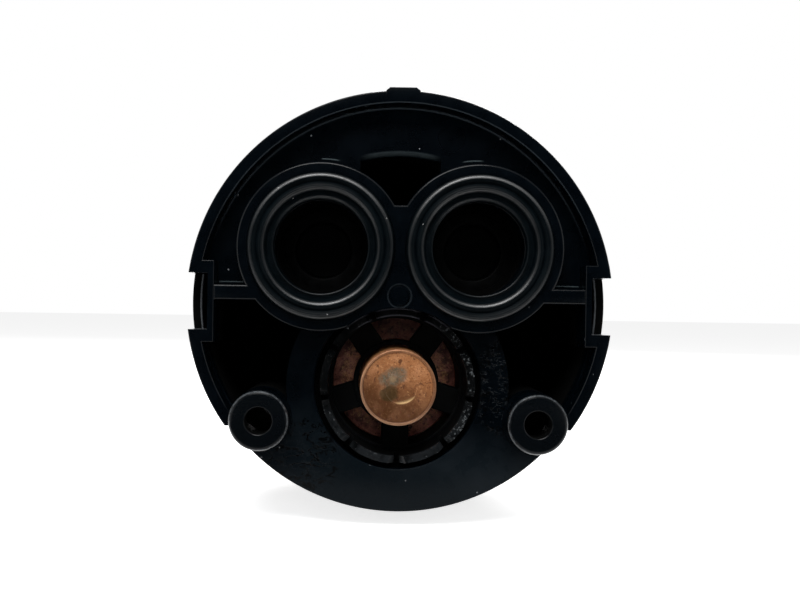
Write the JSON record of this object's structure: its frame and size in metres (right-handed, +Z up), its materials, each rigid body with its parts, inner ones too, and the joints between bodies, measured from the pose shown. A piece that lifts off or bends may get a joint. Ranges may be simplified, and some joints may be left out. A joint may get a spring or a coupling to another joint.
{
  "type": "thermostatic cartridge",
  "caption": "Shower valve thermostatic cartridge: sealed inlets, wax capsule in a caged outlet, splined setting spindle behind.",
  "frame": {"origin": "centre of the base circle on the raised seating face around the inlet seals", "axes": "as installed in a wall: +Y from the inlet face back to the knob end, +X right as the inlet face is seen, +Z up with the locating tab on top"},
  "size_m": [0.071, 0.0871, 0.071],
  "materials": {
    "base_plastic": "satin moulded, glossy where wet",
    "seal_rubber": "satin",
    "cage_plastic": "satin moulded",
    "capsule_copper": "worn copper, tarnished at the flange",
    "guide_brass": "turned",
    "bright_steel": "turned or drawn",
    "shuttle_acetal": "moulded",
    "housing_plastic": "satin moulded",
    "plate_brass": "stamped",
    "bonnet_brass": "turned",
    "nut_acetal": "moulded",
    "washer_white": "smooth",
    "stop_red": "moulded",
    "check_plastic": "moulded",
    "poppet_plastic": "moulded"
  },
  "bodies": {
    "housing": {"base_housing": "base_plastic", "inlet_seals": "seal_rubber", "outlet_cage": "cage_plastic", "port_gasket": "seal_rubber", "valve_body": "housing_plastic", "seat_plate": "plate_brass", "rear_housing": "housing_plastic", "body_seal": "seal_rubber", "check_body_hot": "check_plastic", "check_body_cold": "check_plastic", "check_seals": "seal_rubber", "bonnet": "bonnet_brass", "bonnet_seal": "seal_rubber", "bonnet_screws": "bright_steel", "housing_screws": "bright_steel", "thrust_washer": "washer_white", "return_spring": "bright_steel", "check_spring_hot": "bright_steel", "check_spring_cold": "bright_steel"},
    "spindle": {"spindle": "bonnet_brass", "spindle_seals": "seal_rubber", "spindle_clip": "bright_steel", "stop_ring": "stop_red"},
    "setting_nut": {"setting_nut": "nut_acetal", "plunger_clip": "bright_steel", "overload_spring": "bright_steel"},
    "overload_plunger": {"overload_plunger": "guide_brass", "capsule_piston": "bright_steel"},
    "shuttle": {"shuttle": "shuttle_acetal", "shuttle_seal": "seal_rubber", "wax_capsule": "capsule_copper", "capsule_guide": "guide_brass"},
    "poppet_hot": {"check_poppet_hot": "poppet_plastic"},
    "poppet_cold": {"check_poppet_cold": "poppet_plastic"}
  },
  "joints": [
    {"name": "temperature_turn", "type": "hinge", "parent": "housing", "child": "spindle", "pos_m": [0, 0.06, -0.013], "axis": [0, 1, 0], "range_deg": [-150, 150]},
    {"name": "nut_slide", "type": "slide", "parent": "housing", "child": "setting_nut", "axis": [0, 1, 0], "range_m": [-0.0017, 0.0017]},
    {"name": "overload_slide", "type": "slide", "parent": "setting_nut", "child": "overload_plunger", "axis": [0, 1, 0], "range_m": [0, 0.002], "stiffness_N_per_m": 5000, "springref_m": -0.003, "deforming": ["overload_spring"]},
    {"name": "shuttle_slide", "type": "slide", "parent": "housing", "child": "shuttle", "axis": [0, 1, 0], "range_m": [-0.00085, 0.00085], "stiffness_N_per_m": 3000, "deforming": ["return_spring"]},
    {"name": "check_hot_slide", "type": "slide", "parent": "housing", "child": "poppet_hot", "axis": [0, 1, 0], "range_m": [0, 0.003], "stiffness_N_per_m": 100, "springref_m": -0.004, "deforming": ["check_spring_hot"]},
    {"name": "check_cold_slide", "type": "slide", "parent": "housing", "child": "poppet_cold", "axis": [0, 1, 0], "range_m": [0, 0.003], "stiffness_N_per_m": 100, "springref_m": -0.004, "deforming": ["check_spring_cold"]}
  ],
  "couplings": [
    {"joint": "nut_slide", "follows": "temperature_turn", "m_per_rad": -0.00063662}
  ]
}
